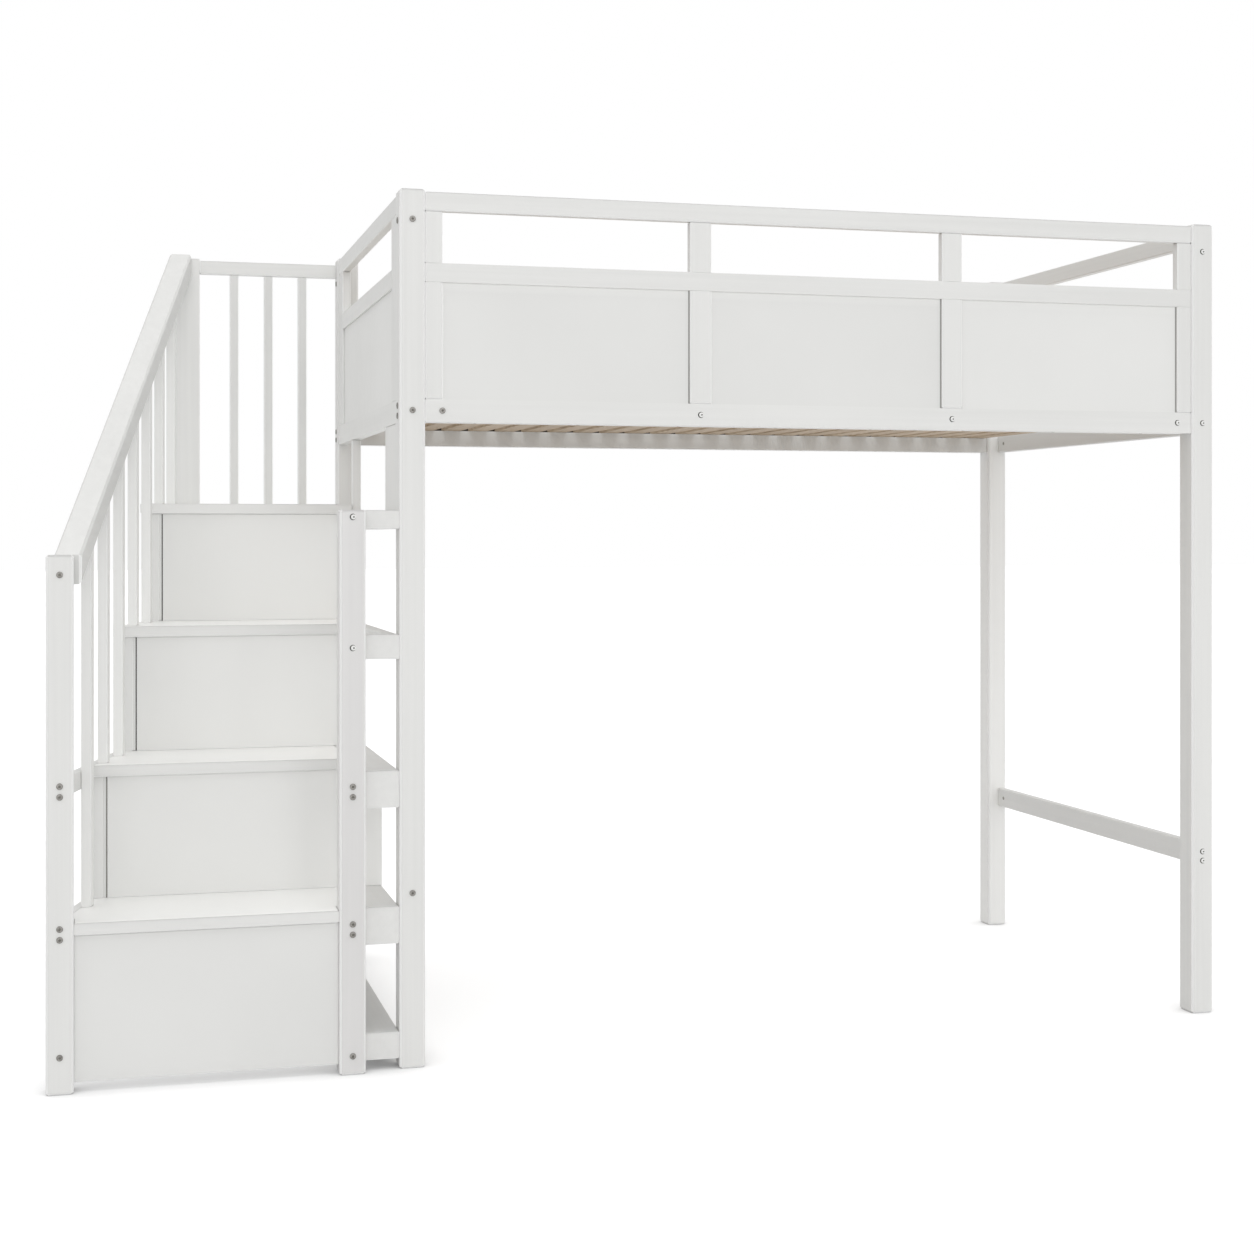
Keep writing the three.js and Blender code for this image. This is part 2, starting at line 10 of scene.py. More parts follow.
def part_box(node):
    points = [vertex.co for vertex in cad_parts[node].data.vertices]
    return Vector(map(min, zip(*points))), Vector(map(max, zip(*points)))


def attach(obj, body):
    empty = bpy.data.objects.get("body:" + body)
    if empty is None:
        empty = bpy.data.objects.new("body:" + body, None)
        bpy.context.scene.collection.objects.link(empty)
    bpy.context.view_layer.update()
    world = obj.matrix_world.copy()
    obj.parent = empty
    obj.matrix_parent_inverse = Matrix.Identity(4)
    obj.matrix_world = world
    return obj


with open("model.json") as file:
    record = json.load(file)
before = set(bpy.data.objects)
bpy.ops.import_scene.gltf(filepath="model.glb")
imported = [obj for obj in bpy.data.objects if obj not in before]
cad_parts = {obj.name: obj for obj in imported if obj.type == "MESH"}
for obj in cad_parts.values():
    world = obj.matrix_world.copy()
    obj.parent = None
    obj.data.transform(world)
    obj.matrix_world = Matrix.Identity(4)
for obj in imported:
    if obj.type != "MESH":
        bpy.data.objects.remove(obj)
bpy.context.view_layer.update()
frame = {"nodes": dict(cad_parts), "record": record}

MM = 0.001
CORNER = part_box("front_left_post")[0]  # the bed's outer front left corner on the floor

# Materials


def linear(red, green, blue):
    """An sRGB colour of 0 to 255 as the shader's linear colour."""
    def one(value):
        share = value / 255
        return share / 12.92 if share <= 0.04045 else ((share + 0.055) / 1.055) ** 2.4
    return (one(red), one(green), one(blue), 1.0)


def white(level):
    """A white or light grey that is slightly warm."""
    return linear(level, level, level - 2)


FACING = 0.9  # least part of a face's normal along an axis for the face to look that way
EASED = 0.65  # the same for the eased edges beside such a face
RISING = 0.3  # an eased edge whose normal rises more than this looks up


class Nodes:
    """A material's node tree with short ways to add and join nodes."""

    def __init__(self, name):
        self.material = bpy.data.materials.new(name)
        self.material.use_nodes = True
        self.tree = self.material.node_tree
        self.shader = self.tree.nodes["Principled BSDF"]
        self.place = self.add("ShaderNodeTexCoord").outputs["Object"]

    def add(self, kind, **settings):
        node = self.tree.nodes.new(kind)
        for key, value in settings.items():
            setattr(node, key, value)
        return node

    def link(self, source, target):
        self.tree.links.new(source, target)

    def fill(self, node, values):
        """Sets a node's inputs; a value is a constant or another node's output."""
        for key, value in values.items():
            if isinstance(value, bpy.types.NodeSocket):
                self.link(value, node.inputs[key])
            else:
                node.inputs[key].default_value = value
        return node

    def stretched(self, scale, place=None):
        """Coordinates in metres times a scale along each axis."""
        node = self.fill(self.add("ShaderNodeVectorMath", operation="MULTIPLY"),
                         {0: place or self.place, 1: scale})
        return node.outputs["Vector"]

    def noise(self, scale, detail=3.0, roughness=0.5, place=None, size=1.0):
        """Noise of 0 to 1 whose detail is fine along an axis where the scale is high."""
        node = self.fill(self.add("ShaderNodeTexNoise"), {
            "Vector": self.stretched(scale, place), "Scale": size, "Detail": detail,
            "Roughness": roughness})
        return node.outputs["Fac"]

    def math(self, operation, a, b=0.0):
        return self.fill(self.add("ShaderNodeMath", operation=operation), {0: a, 1: b}).outputs[0]

    def spread(self, value, low, high, to_low=0.0, to_high=1.0):
        """A value's way from low to high as a number between two others, held at the ends."""
        node = self.fill(self.add("ShaderNodeMapRange"), {
            "Value": value, "From Min": low, "From Max": high, "To Min": to_low, "To Max": to_high})
        return node.outputs["Result"]

    def mix(self, share, a, b):
        """Colour a where the share is zero, and b where it is one."""
        node = self.add("ShaderNodeMix", data_type="RGBA")
        sockets = {s.identifier: s for s in node.inputs}
        for key, value in (("Factor_Float", share), ("A_Color", a), ("B_Color", b)):
            if isinstance(value, bpy.types.NodeSocket):
                self.link(value, sockets[key])
            else:
                sockets[key].default_value = value
        return next(s for s in node.outputs if s.identifier == "Result_Color")

    def blend(self, share, a, b):
        """The sum of a times a share and b times the rest."""
        return self.math("ADD", self.math("MULTIPLY", a, share), self.math("MULTIPLY", b, 1 - share))

    def bump(self, height, distance, strength, normal=None):
        """A normal for a height of 0 to 1 times a distance in metres."""
        values = {"Height": height, "Distance": distance, "Strength": strength}
        if normal:
            values["Normal"] = normal
        return self.fill(self.add("ShaderNodeBump"), values).outputs["Normal"]

    def rounded(self, radius):
        """A normal that rounds the edges by a radius."""
        node = self.add("ShaderNodeBevel", samples=4)
        return self.fill(node, {"Radius": radius}).outputs["Normal"]

    def split(self, vector):
        return self.fill(self.add("ShaderNodeSeparateXYZ"), {0: vector}).outputs

    def face_normal(self):
        return self.add("ShaderNodeNewGeometry").outputs["True Normal"]

    def both(self, a, b):
        """One where two numbers of zero or one are both one."""
        return self.math("MULTIPLY", a, b)

    def above(self, value, limit):
        return self.math("GREATER_THAN", value, limit)

    def below(self, value, limit):
        return self.math("LESS_THAN", value, limit)

    def between(self, value, low, high):
        return self.both(self.above(value, low), self.below(value, high))

    def level(self):
        """One on faces that look up, and zero elsewhere."""
        return self.above(self.split(self.face_normal())["Z"], FACING)

    def eased(self):
        """One on the narrow eased faces that look forward but not up, and zero elsewhere."""
        normal = self.split(self.face_normal())
        return self.both(self.between(normal["Y"], -FACING, -EASED), self.below(normal["Z"], RISING))

    def squared(self):
        """The face's normal, with the narrow eased faces that look forward turned to the front."""
        normal = self.face_normal()
        forward = self.below(self.split(normal)["Y"], -EASED)
        front = self.fill(self.add("ShaderNodeVectorMath", operation="SCALE"),
                          {"Vector": (0.0, -1.0, 0.0), "Scale": forward})
        other = self.fill(self.add("ShaderNodeVectorMath", operation="SCALE"),
                          {"Vector": normal, "Scale": self.math("SUBTRACT", 1.0, forward)})
        joined = self.fill(self.add("ShaderNodeVectorMath", operation="ADD"),
                           {0: front.outputs["Vector"], 1: other.outputs["Vector"]})
        return joined.outputs["Vector"]

    def strip(self, start, end, recess=None):
        """One between two X coordinates on faces that look forward, and zero elsewhere.

        With a recess it is one only on the faces that lie behind that Y coordinate."""
        place = self.split(self.place)
        inside = self.between(place["X"], start, end)
        inside = self.both(inside, self.below(self.split(self.face_normal())["Y"], -FACING))
        if recess is not None:
            inside = self.both(inside, self.above(place["Y"], recess))
        return inside

    def finish(self, **values):
        """Sets the shader's inputs, whose names have spaces for the underscores here."""
        self.fill(self.shader, {key.replace("_", " "): value for key, value in values.items()})
        return self.material


# Painted light: a whiter paint on the narrow eased edges that look forward, making up for the light their
# normals, turned to the front, lose
EASED_PAINTED_LIGHT = linear(255, 255, 254)
POCKET_SHADE = linear(60, 52, 45)  # painted shade behind the slat ends
PAINT_IOR = 1.48
PAINT_ROUGHNESS = (0.38, 0.48)
PAINT_DEPTH = 0.1 * MM  # of the grain and the orange peel
AXES = {"x": 0, "y": 1, "z": 2}


def along(axis, lengthwise, crosswise):
    """A scale that is low along the grain and high across it."""
    scale = [crosswise] * 3
    scale[AXES[axis]] = lengthwise
    return scale


def paint(axis, light, dark, name, top=None, under=None, pocket=None):
    """Satin paint over solid wood whose grain runs along an axis.

    Top is painted light on a trodden face: the tone at its left, and where and in which tone it ends at its
    right.
    Under is the tone of the faces that look down, painted light that lifts their shade.
    A pocket is a range along Y and one along Z in which the faces across the bed are painted dark as shade."""
    m = Nodes(f"{name}_{axis}")
    cloud = m.noise(along(axis, 1.6, 5.0), detail=2.0)
    streak = m.noise(along(axis, 1.2, 70.0), roughness=0.55)
    colour = m.mix(m.spread(m.blend(0.5, cloud, streak), 0.38, 0.62), dark, light)
    if top:
        left_tone, start, end, right_tone = top
        tread = m.mix(m.spread(m.split(m.place)["X"], start, end), left_tone, right_tone)
        colour = m.mix(m.level(), colour, tread)
    if under:
        colour = m.mix(m.below(m.split(m.face_normal())["Z"], -FACING), colour, under)
    if pocket:
        place = m.split(m.place)
        inside = m.both(m.between(place["Y"], *pocket[0]), m.between(place["Z"], *pocket[1]))
        across = m.above(m.math("ABSOLUTE", m.split(m.face_normal())["Y"]), FACING)
        colour = m.mix(m.both(inside, across), colour, POCKET_SHADE)
    colour = m.mix(m.eased(), colour, EASED_PAINTED_LIGHT)
    grain = m.noise(along(axis, 6.0, 260.0), roughness=0.55)
    brushed = m.noise(along(axis, 3.0, 90.0), detail=2.0)
    normal = m.bump(m.blend(0.5, grain, brushed), PAINT_DEPTH, strength=0.35, normal=m.squared())
    rough = m.spread(m.noise((35.0, 35.0, 35.0)), 0.3, 0.7, *PAINT_ROUGHNESS)
    return m.finish(Base_Color=colour, Roughness=rough, Normal=normal, IOR=PAINT_IOR,
                    Coat_Weight=0.08, Coat_Roughness=0.28)


def panel_paint(light, dark, name, strips=(), light_spans=()):
    """Sprayed paint on smooth board: a fine orange peel, no grain, and dark edge strips of painted shadow
    and light ones of painted highlight.

    A strip is two X coordinates, a recess or None, and the tone between them.
    A span is an axis and two coordinates on it between which the paint goes over to another tone, as
    painted light."""
    m = Nodes(name)
    cloud = m.noise((1.8, 1.8, 1.8))
    colour = m.mix(m.spread(cloud, 0.36, 0.64), dark, light)
    for axis, start, end, tone in light_spans:
        colour = m.mix(m.spread(m.split(m.place)[axis], start, end), colour, tone)
    colour = m.mix(m.eased(), colour, EASED_PAINTED_LIGHT)
    for start, end, recess, tone in strips:
        colour = m.mix(m.strip(start, end, recess), colour, tone)
    peel = m.noise((1.0, 1.0, 1.0), detail=2.0, size=420.0)
    roller = m.noise((1.0, 1.0, 1.0), detail=2.0, size=60.0)
    normal = m.bump(m.blend(0.6, peel, roller), PAINT_DEPTH, strength=0.3, normal=m.squared())
    rough = m.spread(m.noise((30.0, 30.0, 30.0)), 0.3, 0.7, *PAINT_ROUGHNESS)
    return m.finish(Base_Color=colour, Roughness=rough, Normal=normal, IOR=PAINT_IOR,
                    Coat_Weight=0.05, Coat_Roughness=0.3)


RINGS_PER_METRE = 95.0  # annual rings across the slats
RING_BEND = 26.0  # in rings
CUT_SHIFT = (7.0, 31.0)  # how far apart in the wood two slats can be cut, along X and Y
SLAT_EASE = 0.8 * MM
FIBRE_DEPTH = 0.25 * MM


def slat_wood(first, pitch):
    """Planed pine with the grain along Y; each slat has its own tone, rings and knots."""
    m = Nodes("slat_wood")
    here = m.split(m.place)
    number = m.math("FLOOR", m.math("DIVIDE", m.math("SUBTRACT", here["X"], first), pitch))
    pick = m.add("ShaderNodeTexWhiteNoise", noise_dimensions="1D")
    m.link(number, pick.inputs["W"])
    chance = pick.outputs["Value"]
    joined = m.add("ShaderNodeCombineXYZ")
    for axis, shift in zip("XY", CUT_SHIFT):
        m.link(m.math("ADD", here[axis], m.math("MULTIPLY", chance, shift)), joined.inputs[axis])
    m.link(here["Z"], joined.inputs["Z"])
    place = joined.outputs[0]

    bend = m.noise((9.0, 1.4, 9.0), detail=2.0, place=place)
    rings = m.math("ADD", m.math("MULTIPLY", here["X"], RINGS_PER_METRE),
                   m.math("MULTIPLY", bend, RING_BEND))
    bands = m.math("ABSOLUTE", m.math("SUBTRACT", m.math("FRACT", rings), 0.5))
    late = m.spread(bands, 0.12, 0.42)
    fibre = m.noise((420.0, 7.0, 420.0), place=place)
    pale = m.mix(chance, linear(200, 182, 158), linear(184, 165, 140))
    ringed = m.mix(m.math("MULTIPLY", late, 0.42), pale, linear(156, 130, 102))
    fibred = m.mix(m.spread(fibre, 0.35, 0.7, 0.0, 0.28), ringed, linear(146, 122, 98))
    cells = m.fill(m.add("ShaderNodeTexVoronoi"),
                   {"Vector": m.stretched((15.0, 4.2, 15.0), place), "Scale": 1.0})
    knot = m.spread(cells.outputs["Distance"], 0.10, 0.03)
    colour = m.mix(m.math("MULTIPLY", knot, 0.75), fibred, linear(92, 62, 40))
    normal = m.bump(m.blend(0.6, fibre, late), FIBRE_DEPTH, strength=0.6, normal=m.rounded(SLAT_EASE))
    rough = m.spread(fibre, 0.3, 0.7, 0.55, 0.72)
    return m.finish(Base_Color=colour, Roughness=rough, Normal=normal)


def webbing():
    """Woven tape: a fine plain weave of warp and weft, unevenly worn."""
    m = Nodes("webbing")

    def threads(direction, size):
        node = m.fill(m.add("ShaderNodeTexWave", bands_direction=direction),
                      {"Vector": m.place, "Scale": size, "Distortion": 0.6, "Detail": 1.0})
        return node.outputs["Fac"]

    weave = m.both(threads("Y", 420.0), threads("X", 320.0))
    worn = m.noise((40.0, 40.0, 40.0))
    base = m.mix(m.spread(worn, 0.35, 0.65), linear(216, 212, 202), linear(230, 227, 219))
    colour = m.mix(m.math("MULTIPLY", weave, 0.35), linear(188, 183, 172), base)
    return m.finish(Base_Color=colour, Roughness=0.85, Normal=m.bump(weave, 0.3 * MM, strength=0.7),
                    Sheen_Weight=0.2, Sheen_Roughness=0.5)


def metal(name, light, dark, roughness):
    """Plated steel with a slightly uneven, dull finish."""
    m = Nodes(name)
    stain = m.noise((240.0, 240.0, 240.0), detail=4.0, roughness=0.6)
    colour = m.mix(m.spread(stain, 0.35, 0.65), dark, light)
    scratch = m.noise((900.0, 200.0, 900.0), detail=2.0)
    rough = m.spread(stain, 0.3, 0.7, roughness - 0.08, roughness + 0.1)
    return m.finish(Base_Color=colour, Metallic=1.0, Roughness=rough,
                    Normal=m.bump(scratch, 0.05 * MM, strength=0.5))


def plastic(name, light, dark):
    """Moulded plastic with a fine spark texture."""
    m = Nodes(name)
    cloud = m.noise((160.0, 160.0, 160.0))
    spark = m.noise((1.0, 1.0, 1.0), detail=2.0, size=1500.0)
    return m.finish(Base_Color=m.mix(cloud, dark, light), Roughness=0.4,
                    Normal=m.bump(spark, 0.03 * MM, strength=0.5))


PAINT_LIGHT, PAINT_DARK = white(227), white(222)
PANEL_LIGHT, PANEL_DARK = white(226), white(222)
LIT_PANEL_LIGHT, LIT_PANEL_DARK = white(231), white(227)  # painted light: a lighter panel paint for the third front panel and the left end panel

PAINTS = {axis: paint(axis, PAINT_LIGHT, PAINT_DARK, "frame_paint") for axis in AXES}
# Painted light: the tops of the treads and the platform are whiter than the frame paint, and whitest at
# their right ends
low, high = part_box("tread_1")
TREAD_PAINT = paint("x", PAINT_LIGHT, PAINT_DARK, "tread_paint",
                    top=(white(240), (low.x + high.x) / 2, high.x, white(252)))
# Painted light and painted shade: copies of the frame paint, lighter or darker for single parts, so that
# each matches the brightness of its place
HANDRAIL_PAINT = paint("y", white(217), white(212), "handrail_paint")
STAIR_POST_PAINT = paint("z", linear(220, 219, 218), linear(215, 214, 213), "stair_post_paint")
FAR_POST_PAINT = paint("z", white(243), white(238), "far_post_paint")
SIDE_BALUSTER_PAINT = paint("z", white(236), white(231), "side_baluster_paint")
REAR_BALUSTER_PAINT = paint("z", white(219), white(214), "rear_baluster_paint")
# Painted light: the mid rail's undersides are whiter than the rest of it
MID_RAIL_PAINT = paint("x", PAINT_LIGHT, PAINT_DARK, "mid_rail_paint", under=white(250))
PANEL_PAINT = panel_paint(PANEL_LIGHT, PANEL_DARK, "panel_paint")
END_PANEL_PAINT = panel_paint(LIT_PANEL_LIGHT, LIT_PANEL_DARK, "end_panel_paint")
BOLT_STEEL = metal("bolt_steel", linear(158, 156, 152), linear(118, 116, 112), roughness=0.36)
SCREW_STEEL = metal("screw_steel", linear(190, 188, 182), linear(150, 148, 143), roughness=0.3)
# Painted shade: a darker copy of the steel for the insides of the sockets and recesses
SOCKET_SHADE_STEEL = metal("socket_shade_steel", linear(132, 130, 124), linear(98, 96, 91), roughness=0.5)
# Painted shadow and painted shade: very dark steel for the crescent at the left of a cap and inside its
# small hole
CAP_SHADE_STEEL = metal("cap_shade_steel", linear(70, 68, 64), linear(46, 44, 42), roughness=0.5)
CAP_PLASTIC = plastic("cap_plastic", white(236), white(228))
WEBBING = webbing()

SLAT_COUNT = 25
SLAT_WIDTH = 50 * MM
slat_low, slat_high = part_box("slat_roll")
slat_pitch = (slat_high.x - slat_low.x - SLAT_WIDTH) / (SLAT_COUNT - 1)
SLAT_WOOD = slat_wood(slat_low.x - (slat_pitch - SLAT_WIDTH) / 2, slat_pitch)
RAIL_SKIN = 10 * MM  # keeps the painted shade off the rails' outer faces
bay = (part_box("front_side_rail")[0].y + RAIL_SKIN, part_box("rear_side_rail")[1].y - RAIL_SKIN)
# Painted shade: dark brown on the rails' inner faces between the slat ends
SIDE_RAIL_PAINT = paint("x", PAINT_LIGHT, PAINT_DARK, "side_rail_paint",
                        pocket=(bay, (slat_low.z, slat_high.z)))

GROOVE_REACH = 7.7 * MM  # how far a panel reaches into the stile beside it
LINE_WIDTH = 3.2 * MM  # of the lines of painted shadow beside a panel and a riser
GLINT_SHARE = 0.7  # of that width
SHADOW = linear(150, 149, 147)
GLINT = linear(250, 250, 249)
HEAD_HEIGHT = 20 * MM  # of the band of painted light on a front panel under the mid rail, which lifts the shade there
HEAD_PAINTED_LIGHT = white(235)
GROOVE_SHADOW = linear(74, 72, 70)
BLOCK_GROOVE_SHADOW = linear(128, 126, 123)
GROOVE_RECESS = 1.5 * MM  # how far behind a riser's face its groove's floor is at least
UPRIGHT_WIDTH = 44 * MM  # block at the left of a riser
RISER_OFFSET = 52.8 * MM  # from the block's left side to the riser's face


def front_panel_paint(node, light=PANEL_LIGHT, dark=PANEL_DARK):
    """Board with a painted shadow beside the stile on its right, a painted glint beside the one on its
    left, and painted light under the mid rail.
    """
    low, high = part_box(node)
    left, right = low.x + GROOVE_REACH, high.x - GROOVE_REACH
    rail_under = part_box("front_mid_rail")[0].z
    return panel_paint(light, dark, f"{node}_paint", strips=(
        (right - LINE_WIDTH, high.x, None, SHADOW),
        (low.x, left + LINE_WIDTH * GLINT_SHARE, None, GLINT),
    ), light_spans=[("Z", rail_under - HEAD_HEIGHT, rail_under, HEAD_PAINTED_LIGHT)])


def riser_paint(node, left, front, tone=GROOVE_SHADOW, light_spans=()):
    """Board with painted shade in the groove between its face and the block at its left."""
    line = left + RISER_OFFSET
    return panel_paint(PANEL_LIGHT, PANEL_DARK, f"{node}_paint",
                       [(line - LINE_WIDTH, line, front + GROOVE_RECESS, tone)], light_spans)


def riser_spans(node, offset, tone, share, last_tone):
    """Painted light: a riser's lighter tone over its face from an offset, and over its right part from a
    share of its width.
    """
    low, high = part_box(node)
    return (("X", low.x + offset, high.x, tone),
            ("X", low.x + share * (high.x - low.x), high.x, last_tone))


# Paints of single parts, which carry painted light and painted shade
LIGHT_AND_SHADE_PAINT = {node: front_panel_paint(node) for node in ("front_panel_1", "front_panel_2")}
LIGHT_AND_SHADE_PAINT["front_panel_3"] = front_panel_paint("front_panel_3", LIT_PANEL_LIGHT, LIT_PANEL_DARK)
LIGHT_AND_SHADE_PAINT["riser_2"] = panel_paint(PANEL_LIGHT, PANEL_DARK, "riser_2_paint",
                                   light_spans=riser_spans("riser_2", 0.0, white(232), 0.72, white(252)))
for node, share, tone in (("riser_3", 0.5, white(241)), ("riser_4", 0.4, white(238))):
    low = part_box(node)[0]
    light_spans = riser_spans(node, RISER_OFFSET, white(236), share, tone)
    LIGHT_AND_SHADE_PAINT[node] = riser_paint(node, low.x, low.y, light_spans=light_spans)
for material, nodes in (
    (TREAD_PAINT, ("tread_1", "tread_2", "tread_3", "platform")),
    (SIDE_RAIL_PAINT, ("front_side_rail", "rear_side_rail")),
    (SIDE_BALUSTER_PAINT, [f"side_baluster_{i}" for i in range(1, 8)]),
    (REAR_BALUSTER_PAINT, [f"rear_baluster_{i}" for i in range(1, 4)]),
    (END_PANEL_PAINT, ["left_end_panel"]),
    (HANDRAIL_PAINT, ["handrail"]),
    (STAIR_POST_PAINT, ["stair_front_right_post"]),
    (FAR_POST_PAINT, ["rear_right_post"]),
    (MID_RAIL_PAINT, ["front_mid_rail"]),
):
    LIGHT_AND_SHADE_PAINT |= dict.fromkeys(nodes, material)

slots = {part["node"]: part["material_slot"] for part in frame["record"]["subparts"]}
for node, obj in frame["nodes"].items():
    low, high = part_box(node)
    size = high - low
    longest = max(AXES, key=lambda axis: size[AXES[axis]])
    if node in LIGHT_AND_SHADE_PAINT:
        material = LIGHT_AND_SHADE_PAINT[node]
    elif slots[node] == "slat_wood":
        material = SLAT_WOOD
    elif slots[node] == "painted_panels":
        material = PANEL_PAINT
    else:
        material = PAINTS[longest]
    obj.data.materials.clear()
    obj.data.materials.append(material)


# Small pieces


def piece(name, vertices, faces, materials, picks=None):
    """A mesh that rides on the bed; picks gives each face's material."""
    mesh = bpy.data.meshes.new(name)
    mesh.from_pydata([tuple(v) for v in vertices], [], faces)
    for material in materials:
        mesh.materials.append(material)
    if picks:
        mesh.polygons.foreach_set("material_index", picks)
    mesh.update()
    obj = bpy.data.objects.new(name, mesh)
    bpy.context.scene.collection.objects.link(obj)
    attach(obj, "root")


SIDES = 24  # points round a fastener, four to each side of its socket
SINK = 0.6  # how deep a head starts in the wood, in millimetres


def ring(radius, height, aside=0.0):
    """A ring of points, from sizes in millimetres."""
    points = []
    for i in range(SIDES):
        angle = 2 * math.pi * i / SIDES
        x = aside * MM + radius * MM * math.cos(angle)
        points.append(Vector((x, radius * MM * math.sin(angle), height * MM)))
    return points


def hex_ring(flat, height):
    """A ring of points on a hexagon of a given size across its flats, in millimetres."""
    points = []
    for i in range(SIDES):
        angle = 2 * math.pi * i / SIDES
        from_flat = (angle + math.pi / 6) % (math.pi / 3) - math.pi / 6
        radius = flat * MM / 2 / math.cos(from_flat)
        points.append(Vector((radius * math.cos(angle), radius * math.sin(angle), height * MM)))
    return points


def revolved(rings, dark):
    """A closed body through a stack of rings; dark says which bands between them are dark."""
    vertices = [v for r in rings for v in r]
    faces = []
    for k in range(len(rings) - 1):
        for i in range(SIDES):
            j = (i + 1) % SIDES
            faces.append((k * SIDES + i, k * SIDES + j, (k + 1) * SIDES + j, (k + 1) * SIDES + i))
    faces.append(tuple(reversed(range(SIDES))))
    faces.append(tuple((len(rings) - 1) * SIDES + i for i in range(SIDES)))
    picks = [int(k in dark) for k in range(len(rings) - 1) for _ in range(SIDES)] + [0, 1]
    return vertices, faces, picks


def bolt_head():
    """A flat button head with an eased rim and a hexagonal socket."""
    return revolved([
        ring(6.8, -SINK), ring(6.8, 1.3), ring(6.6, 1.8), ring(6.0, 2.1), ring(4.4, 2.25),
        hex_ring(5.0, 2.25), hex_ring(4.6, 1.95), hex_ring(4.6, 0.2),
    ], dark={6})


def cap():
    """A low white cover set off to the right on a dark ring, which shows as a crescent of painted shadow at
    its left, with a small hole of its own, dark with painted shade.
    """
    return revolved([
        ring(6.8, -SINK), ring(6.8, 0.15), ring(5.5, 0.15, 1.2), ring(5.5, 0.9, 1.2),
        ring(5.0, 1.4, 1.2), ring(1.7, 1.6, 2.0), ring(1.6, 1.2, 2.0), ring(1.6, 0.4, 2.0),
    ], dark={0, 1, 5, 6})


def barrel_nut():
    """The end of a cross dowel, nearly flush, with a hexagonal recess."""
    return revolved([
        ring(5.2, -SINK), ring(5.2, 0.3), ring(4.8, 0.55), hex_ring(4.2, 0.55), hex_ring(3.9, 0.12),
    ], dark={3})


def screw_head():
    """A countersunk screw head with a hexagonal recess."""
    return revolved([
        ring(4.0, -SINK), ring(4.0, 0.15), ring(3.7, 0.35), ring(1.8, 0.4), hex_ring(2.6, 0.35),
        hex_ring(2.2, 0.1),
    ], dark={4})


HEAD_TURN = 1.3  # radians from one head to the next, so that no two sockets look alike

# A kind of fastener is its form, its two materials and its turn
BOLT = (bolt_head(), (BOLT_STEEL, SOCKET_SHADE_STEEL), HEAD_TURN)
CAP = (cap(), (CAP_PLASTIC, CAP_SHADE_STEEL), 0.0)
NUT = (barrel_nut(), (SCREW_STEEL, SOCKET_SHADE_STEEL), HEAD_TURN)
SCREW = (screw_head(), (SCREW_STEEL, SOCKET_SHADE_STEEL), HEAD_TURN)

NORMALS = {
    "front": Vector((0, -1, 0)), "rear": Vector((0, 1, 0)), "left": Vector((-1, 0, 0)),
    "right": Vector((1, 0, 0)), "top": Vector((0, 0, 1)), "under": Vector((0, 0, -1)),
}


def face_of(node, side):
    """The coordinate of a node's outer face on a side."""
    low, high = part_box(node)
    return {"front": low.y, "rear": high.y, "left": low.x, "right": high.x,
            "top": high.z, "under": low.z}[side]


def middle(node):
    low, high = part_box(node)
    return (low + high) / 2


def on(node, side, places):
    """Points on a face of a node; a place gives the two other coordinates."""
    face = face_of(node, side)
    if side in ("front", "rear"):
        return [(u, face, v) for u, v in places]
    if side in ("left", "right"):
        return [(face, u, v) for u, v in places]
    return [(u, v, face) for u, v in places]


def fasteners(name, kind, node, side, places):
    """Several fasteners of one kind on a side of a node."""
    (vertices, faces, picks), materials, turn = kind
    facing = NORMALS[side].to_track_quat("Z", "Y").to_matrix()
    all_vertices, all_faces = [], []
    for count, point in enumerate(on(node, side, places)):
        spin = Matrix.Rotation(turn * count, 3, "Z")
        start = len(all_vertices)
        all_vertices += [Vector(point) + facing @ (spin @ v) for v in vertices]
        all_faces += [tuple(start + i for i in face) for face in faces]
    piece(name, all_vertices, all_faces, materials, picks * len(places))


PAIR = 11 * MM  # half the distance between two bolts of a pair
TOP_BOLT_DROP = 20 * MM  # from the underside of the top rail
side_rail_z = middle("front_side_rail").z
top_bolt_z = face_of("front_top_rail", "under") - TOP_BOLT_DROP
low_rail_z = middle("right_end_low_rail").z


def pair(u, v):
    return [(u, v + PAIR), (u, v - PAIR)]


# Bolts and caps of the bed posts
for side in ("left", "right"):
    node = f"front_{side}_post"
    x, y = middle(node).x, middle(node).y
    places = [(x, top_bolt_z), (x, side_rail_z)]
    if side == "left":
        fasteners(f"{node}_front_bolts", BOLT, node, "front", [*places, (x, low_rail_z)])
    else:
        fasteners(f"{node}_front_caps", CAP, node, "front", [*places, *pair(x, low_rail_z)])
    ends = [(y, top_bolt_z), *pair(y, side_rail_z)]
    fasteners(f"{node}_side_bolts", BOLT, node, side, ends)
for side in ("left", "right"):
    node = f"rear_{side}_post"
    x, y = middle(node).x, middle(node).y
    places = [(x, middle("rear_guard_rail").z), (x, side_rail_z)]
    places += [] if side == "left" else pair(x, low_rail_z)
    fasteners(f"{node}_rear_bolts", BOLT, node, "rear", places)
    ends = [(y, top_bolt_z), *pair(y, side_rail_z)]
    fasteners(f"{node}_side_bolts", BOLT, node, side, ends)
far_end = [(middle(node).y, low_rail_z) for node in ("front_right_post", "rear_right_post")]
fasteners("low_rail_bolts", BOLT, "front_right_post", "right", far_end)

